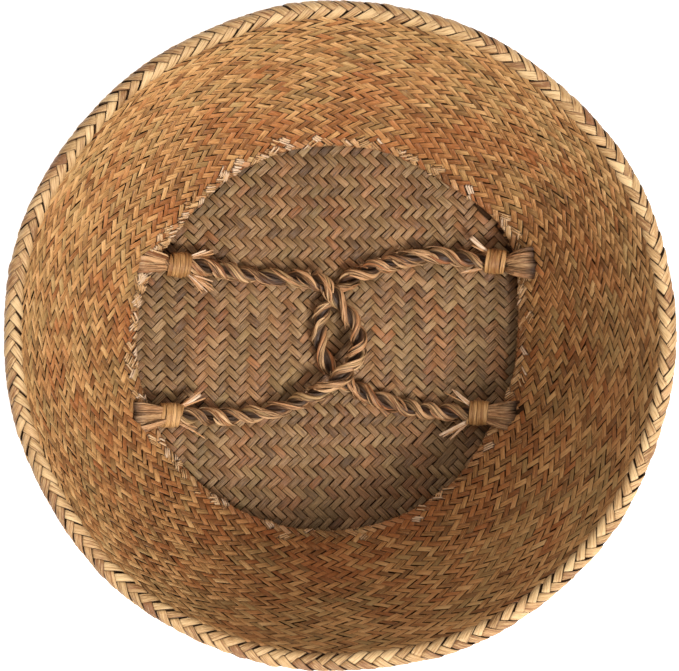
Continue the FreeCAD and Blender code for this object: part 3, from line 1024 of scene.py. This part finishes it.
class BASKET_OT_rope_ends(bpy.types.Operator):
    """Anchor loops, raffia lashings and loose blade ends at the four rope ends"""

    bl_idname = "basket.rope_ends"
    bl_label = "Loops, lashings and loose ends"

    def execute(self, context):
        sizes = sizes_of(context)
        on_rope = {"left": [], "right": []}
        for seed, (name, (side_x, _, _, start)) in enumerate(ENDS.items()):
            side_name = name.split("_")[1]
            route = LEFT_ROUTE if side_name == "left" else RIGHT_ROUTE
            path, far = evenly(route_line(handle_points(side_name, route)), 0.5 * MM)
            if name.startswith("lower"):
                path = path[::-1]
            rng = np.random.default_rng(60 + seed)
            self.make_loop(name, side_name, path, side_x, rng)
            on_rope[side_name] += [
                self.make_lashing(name, side_name, path, far, start, sizes, rng),
                self.make_tails(name, side_name, path, far, start + sizes.lashing_length, rng),
            ]
        for side_name, route in (("left", LEFT_ROUTE), ("right", RIGHT_ROUTE)):
            points = handle_points(side_name, route)
            path = route_line(points)
            bpy.data.objects[side_name + "_rope"]
        return {"FINISHED"}

    def make_loop(self, name, side_name, path, side_x, rng):
        """Blades from the lashing over the ring's top into the wall, behind it, and back under the rim's edge.

        A blade's place is the loop's middle + radius (cos a inward + sin a up), fanned out along Y by
        flare = sin(0.75 a + 0.15)^1.2. The loop stays with the rim when its handle swings.
        """
        middle = loop_middle(name)
        inward = np.array((-float(side_x), 0.0, 0.0))
        lean, reach = FANS[name]
        bundle = Bundle()
        blades = 11
        for k in range(blades):
            place = (k + 0.5) / blades * 2 - 1
            a = np.linspace(-0.25, math.tau - 0.55, 48)
            radius = (8.0 + rng.uniform(-0.9, 0.9) + 0.8 * np.sin(a * 2 + k)) * MM
            radius = radius + 1.3 * MM * np.exp(-(((a - 1.6) / 0.7) ** 2))
            flare = np.clip(np.sin(a * 0.75 + 0.15), 0, 1) ** 1.2
            across = (place * (3.4 + 4.8 * flare) + lean * flare) * MM
            points = middle + radius[:, None] * (np.cos(a)[:, None] * inward + np.sin(a)[:, None] * UP)
            points[:, 1] += across
            points += reach * MM * np.exp(-((a / 0.55) ** 2))[:, None] * inward
            out = np.cos(a)[:, None] * inward + np.sin(a)[:, None] * UP
            out = unit(out + 0.25 * rng.normal(0, 1) * np.array((0, 1.0, 0)))
            way = unit(np.gradient(points, axis=0))
            side = unit(np.cross(way, out))
            width = rng.uniform(0.8, 1.5) * MM
            tint = np.full(48, rng.normal(0.56, 0.17))
            # Painted shade where the blades go into the wall, for the dark hole behind them.
            dark = 0.95 * np.exp(-(((a - 1.95) / 0.42) ** 2))
            add_ribbon(bundle, points, side, out, width, 0.35 * MM, tint, red=rng.uniform(-0.1, 0.5), edge=dark, rims=0.7)
        loop = declare(bundle.piece(name + "_loop_blades", "twisted_rope"), "rope_grass", name + "_loop")
        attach(loop, "rim")

    def make_lashing(self, name, side_name, path, far, start, sizes, rng):
        """A flat raffia strip wound round the rope: a helix about the rope's middle, wider across than up."""
        turns, per_turn = 5.4, 26
        count = round(turns * per_turn)
        share = np.linspace(0, 1, count)
        place = start + 1.3 * MM + share * (sizes.lashing_length - 2.6 * MM)
        middle = np.stack([np.interp(place, far, path[:, k]) for k in range(3)], axis=1)
        way, side, up = frames_along(middle)
        a = share * turns * math.tau + rng.uniform(0, 6)
        lap = (share * turns).astype(int)
        each_lap = rng.normal(0, 1, (3, lap[-1] + 1))
        radius = (5.35 + 0.16 * each_lap[0, lap] + 1.6 * share * (1 - share)) * MM
        radius = np.convolve(np.pad(radius, 4, mode="edge"), np.full(9, 1 / 9), mode="valid")
        out = np.cos(a)[:, None] * side * 1.10 + np.sin(a)[:, None] * up * 0.95
        lean = 0.35 * MM * each_lap[2, lap] * np.sin(a) + 0.7 * MM * np.cos(a)
        points = middle + radius[:, None] * out + lean[:, None] * way
        points[:, 2] = np.maximum(points[:, 2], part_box("base_panel")[1].z + 0.6 * MM)
        tilt = unit(way + 0.20 * out)
        tint = 0.46 + 0.13 * each_lap[1, lap] + 0.06 * np.sin(a * 1.7)
        bundle = Bundle()
        width = 1.35 * MM * np.clip(np.minimum(share, 1 - share) * 30 + 0.25, 0, 1)
        add_ribbon(bundle, points, tilt, unit(out), width, 0.45 * MM, tint, red=0.12, rims=0.85)
        # A dark core in the gap colour inside the wraps: painted shade that shows between them.
        core_a = np.arange(12) / 12 * math.tau
        core = middle[:: per_turn // 2]
        ring = core[:, None] + 5.0 * MM * (
            np.cos(core_a)[None, :, None] * side[:: per_turn // 2][:, None] * 1.08
            + np.sin(core_a)[None, :, None] * up[:: per_turn // 2][:, None] * 0.93
        )
        n = len(core)
        faces = grid_faces(n, 12, around=True)[:, ::-1]
        caps = np.stack([np.arange(12), np.arange(12)[::-1] + (n - 1) * 12])
        bundle.add(ring.reshape(-1, 3), [faces, caps], slot=1)
        lashing = bundle.piece(name + "_raffia_lashing", "raffia_strip", "shaded_gap")
        declare(lashing, "raffia", name + "_lashing")
        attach(lashing, side_name + "_handle")
        return lashing

    def make_tails(self, name, side_name, path, far, start, rng):
        """Loose blades that come out of the lashing beside the rope, each a gently drooping strip."""
        at = np.array([np.interp(start - 3 * MM, far, path[:, k]) for k in range(3)])
        ahead = np.array([np.interp(start + 4 * MM, far, path[:, k]) for k in range(3)])
        way = unit(ahead - at)
        left = unit(np.cross(UP, way))
        bundle = Bundle()
        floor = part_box("base_panel")[1].z + 1.9 * MM
        for degrees, length, pale in TAILS[name]:
            for _ in range(1 if pale else 2):
                turn = math.radians(degrees + rng.normal(0, 3.5))
                share = np.linspace(0, 1, 12)
                reach = (length + 3.5 + rng.normal(0, 1.2)) * MM
                direction = math.cos(turn) * way + math.sin(turn) * left
                root = at + left * math.copysign(3.6 * MM, turn) + UP * rng.uniform(-1.0, 2.2) * MM
                bend = left * math.copysign(rng.uniform(-1, 2) * MM, turn)
                points = root + share[:, None] * reach * direction + (share**2)[:, None] * bend
                points[:, 2] += (2.0 * share - 4.5 * share**2) * MM * rng.uniform(0.3, 1)
                points[:, 2] = np.maximum(points[:, 2], floor)
                along = unit(np.gradient(points, axis=0))
                roll = rng.normal(0, 0.5)
                side = unit(np.cross(UP * math.cos(roll) + left * math.sin(roll), along))
                width = (rng.uniform(0.45, 0.85) + 0.45 * pale) * MM * (1 - 0.4 * share**2)
                tint = np.full(12, 0.40 + 0.40 * pale + rng.normal(0, 0.1)) + 0.15 * share
                add_ribbon(bundle, points, side, np.cross(along, side), width, 0.25 * MM, tint, red=0.25 * (1 - pale))
        tails = declare(bundle.piece(name + "_loose_blades", "cut_blades"), "cut_ends", name + "_tails")
        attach(tails, side_name + "_handle")
        return tails


class BASKET_OT_base(bpy.types.Operator):
    """The woven base, its upper side and its underside"""

    bl_idname = "basket.base"
    bl_label = "Base"

    def execute(self, context):
        sizes = sizes_of(context)
        weave = FlatWeave(sizes)
        floats = weave.floats()
        bundle = Bundle()
        for seed, place in ((11, weave.place), (12, mirrored(lambda x, y, h: weave.place(x, y, h)))):
            rng = np.random.default_rng(seed)
            tint = strand_tints(floats, rng, 0.16)
            blotch = waves(rng, 12, 3, 12)
            field = blotch(floats.x * 0.12, floats.y * 0.9)
            red = np.clip(0.14 * field + 0.17 * rng.normal(0, 1, len(tint)), -0.6, 0.6)
            add_floats(bundle, place, floats, sizes, rng, tint + 0.05 * field, red)
        # A dark disc in the gap colour through the base's middle: painted shade that shows between the floats.
        disc = 96
        angle = np.arange(disc) / disc * math.tau
        rim = np.stack([np.cos(angle), np.sin(angle)], axis=1) * weave.radius
        flat = np.concatenate([np.pad(rim, ((0, 0), (0, 1)), constant_values=weave.middle + z) for z in (0.15 * MM, -0.15 * MM)])
        j = np.arange(disc)
        k = (j + 1) % disc
        sides = np.stack([j, disc + j, disc + k, k], axis=1)
        caps = np.stack([j, (disc + j)[::-1]])
        bundle.add(flat, [sides, caps], slot=1)
        base = declare(bundle.piece("base_weave", "base_strands", "shaded_gap"), "base_weave", "base_panel")
        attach(base, "root")
        return {"FINISHED"}


def woven_ring(name, weave, sizes, low, high, seed, finish, slot, nodes, fine=True, back=True, **shape):
    """A ring of the round weave from y low to high: its shown side, its backing, and a plainer back side."""
    floats = weave.floats(low, high)
    holes = near_holes(weave, floats)
    floats = floats.only(~holes)
    rng = np.random.default_rng(seed)
    bundle = Bundle()
    if fine:
        tint, red = wall_look(weave, floats, rng)
        add_floats(bundle, weave.place, floats, sizes, rng, tint, red, **shape)
    if back:
        tint, red = wall_look(weave, floats, rng)
        behind = Floats(-floats.t, -floats.s, floats.slant, floats.half, floats.strand)
        add_floats(bundle, mirrored(weave.place), behind, sizes, rng, tint - 0.05, red, ROWS_PLAIN, ACROSS_PLAIN)
    add_backing(bundle, weave, low, high, 1)
    piece = bundle.piece(name, finish, "shaded_gap")
    return declare(piece, slot, *nodes)


def near_holes(weave, floats):
    """Which floats leave room for the loops' holes: those whose middle is nearest to where a loop goes in."""
    near = np.zeros(len(floats.s), bool)
    places = weave.place(floats.x, floats.y, 0.0 * floats.x)
    for name in ENDS:
        middle = loop_middle(name)
        outward = math.copysign(1.0, middle[0])
        hole = middle + np.array((outward * 4.6 * MM, 0, 6.6 * MM))
        away = (places - hole) / (np.array((4.2, 5.2, 4.2)) * MM)
        near |= (away**2).sum(axis=1) < 1
    return near


class BASKET_OT_lower_wall(bpy.types.Operator):
    """The base's rounded edge and the lower wall up to the fold"""

    bl_idname = "basket.lower_wall"
    bl_label = "Lower wall"

    def execute(self, context):
        sizes = sizes_of(context)
        weave = RoundWeave(sizes)
        start = float(weave.y[4])
        turned = weave.y_at(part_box("base_turn")[1].z, False)
        fold = -1.5
        ring = woven_ring
        turn = ring("base_turn_weave", weave, sizes, start, turned, 21, "wall_strands", "base_weave", ["base_turn"])
        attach(turn, "root")
        outside = ring(
            "lower_wall_weave", weave, sizes, turned, fold, 22, "wall_strands", "wall_weave", ["lower_wall"], back=False
        )
        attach(outside, "root")
        inside = ring(
            "lower_wall_inside", weave, sizes, turned, fold, 23, "wall_strands", "wall_weave", [], fine=False
        )
        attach(inside, "root")
        return {"FINISHED"}


class BASKET_OT_fold(bpy.types.Operator):
    """The belly fold, where the weave turns over in a ridge of pale strands"""

    bl_idname = "basket.fold"
    bl_label = "Belly fold"

    def execute(self, context):
        sizes = sizes_of(context)
        weave = RoundWeave(sizes)
        fold = woven_ring(
            "fold_weave", weave, sizes, -1.5, 0.9, 24, "fold_strands", "fold_straw", ["belly_fold"],
            rows=ROWS_BENT, loose=1.8,
        )
        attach(fold, "root")
        return {"FINISHED"}


class BASKET_OT_upper_wall(bpy.types.Operator):
    """The upper wall, turned down inside, with the band round the opening and the rim's turned-over edge"""

    bl_idname = "basket.upper_wall"
    bl_label = "Upper wall and rim"

    def execute(self, context):
        sizes = sizes_of(context)
        weave = RoundWeave(sizes)
        band = weave.y_at(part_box("rim_band")[1].z, True)
        edge = weave.y_at(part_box("rim_border")[1].z, True)
        last = float(weave.y[-1]) - 0.8
        ring = woven_ring
        upper = ring(
            "upper_wall_weave", weave, sizes, 0.9, band, 25, "wall_strands", "wall_weave", ["upper_wall"], back=False
        )
        behind = ring("upper_wall_back", weave, sizes, 0.9, band, 26, "wall_strands", "wall_weave", [], fine=False)
        rim = ring("rim_band_weave", weave, sizes, band, edge, 27, "wall_strands", "wall_weave", ["rim_band"])
        border = ring(
            "rim_border_weave", weave, sizes, edge, last, 28, "rim_strands", "rim_straw", ["rim_border"], back=False,
            rows=ROWS_BENT,
        )
        ends = self.ragged_ends(weave, sizes)
        for piece in (upper, behind):
            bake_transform(piece)
        for piece in (rim, border, ends):
            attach(piece, "rim")
        return {"FINISHED"}

    def ragged_ends(self, weave, sizes):
        """Pale ends of strands tucked back along the edge: groups of two or three narrow blades side by side.

        They lie closest on the left, less so on the right, and are few at the front.
        """
        rng = np.random.default_rng(41)
        count = 150
        turn = rng.uniform(0, 1, 6 * count)
        density = 0.12 + 0.9 * np.exp(-(((turn - 0.43) / 0.13) ** 2)) + 0.3 * np.exp(-(((turn - 0.04) / 0.10) ** 2))
        turn = turn[rng.random(6 * count) < density][:count]
        n = len(turn)
        x, y = turn * weave.strands, weave.tip_y - rng.uniform(-0.2, 1.9, n)
        slant = rng.random(n) < 0.4
        half, pale = rng.uniform(0.5, 0.9, n), rng.uniform(0.25, 0.9, n)
        bundle = Bundle()
        for blade in (-0.36, 0.0, 0.36):
            s = x + y + np.where(slant, rng.uniform(-0.15, 0.15, n), blade)
            t = x - y + np.where(slant, blade, rng.uniform(-0.15, 0.15, n))
            kept = rng.random(n) < 0.8
            ends = Floats(s, t, slant, half * rng.uniform(0.7, 1.1, n), np.arange(n)).only(kept)
            tint, red = pale[kept] + rng.normal(0, 0.12, kept.sum()), rng.uniform(0, 0.25, kept.sum())
            add_floats(bundle, weave.place, ends, sizes, rng, tint, red, lift=0.8 * MM, wide=0.33, loose=0.5)
        return declare(bundle.piece("rim_ragged_ends", "rim_strands"), "rim_straw")


OPERATORS = (
    BASKET_OT_stage,
    BASKET_OT_ropes,
    BASKET_OT_rope_ends,
    BASKET_OT_base,
    BASKET_OT_lower_wall,
    BASKET_OT_fold,
    BASKET_OT_upper_wall,
)


class BASKET_PT_panel(bpy.types.Panel):
    """Sizes, colours and the pieces in the order they are made"""

    bl_idname = "BASKET_PT_panel"
    bl_label = "Belly basket"
    bl_space_type = "VIEW_3D"
    bl_region_type = "UI"
    bl_category = "Basket"

    def draw(self, context):
        for group in (context.scene.basket_sizes, context.scene.basket_colours):
            box = self.layout.box()
            for name in group.__annotations__:
                box.prop(group, name)
        for operator in OPERATORS:
            self.layout.operator(operator.bl_idname)


CLASSES = (BasketSizes, BasketColours, *OPERATORS, BASKET_PT_panel)


def register():
    for one in CLASSES:
        bpy.utils.register_class(one)
    bpy.types.Scene.basket_sizes = PointerProperty(type=BasketSizes)
    bpy.types.Scene.basket_colours = PointerProperty(type=BasketColours)


def unregister():
    del bpy.types.Scene.basket_colours
    del bpy.types.Scene.basket_sizes
    for one in reversed(CLASSES):
        bpy.utils.unregister_class(one)


def main():
    register()
    bpy.ops.basket.stage()
    bpy.ops.basket.ropes()
    bpy.ops.basket.rope_ends()
    bpy.ops.basket.base()
    bpy.ops.basket.lower_wall()
    bpy.ops.basket.fold()
    bpy.ops.basket.upper_wall()


if __name__ == "__main__":
    main()
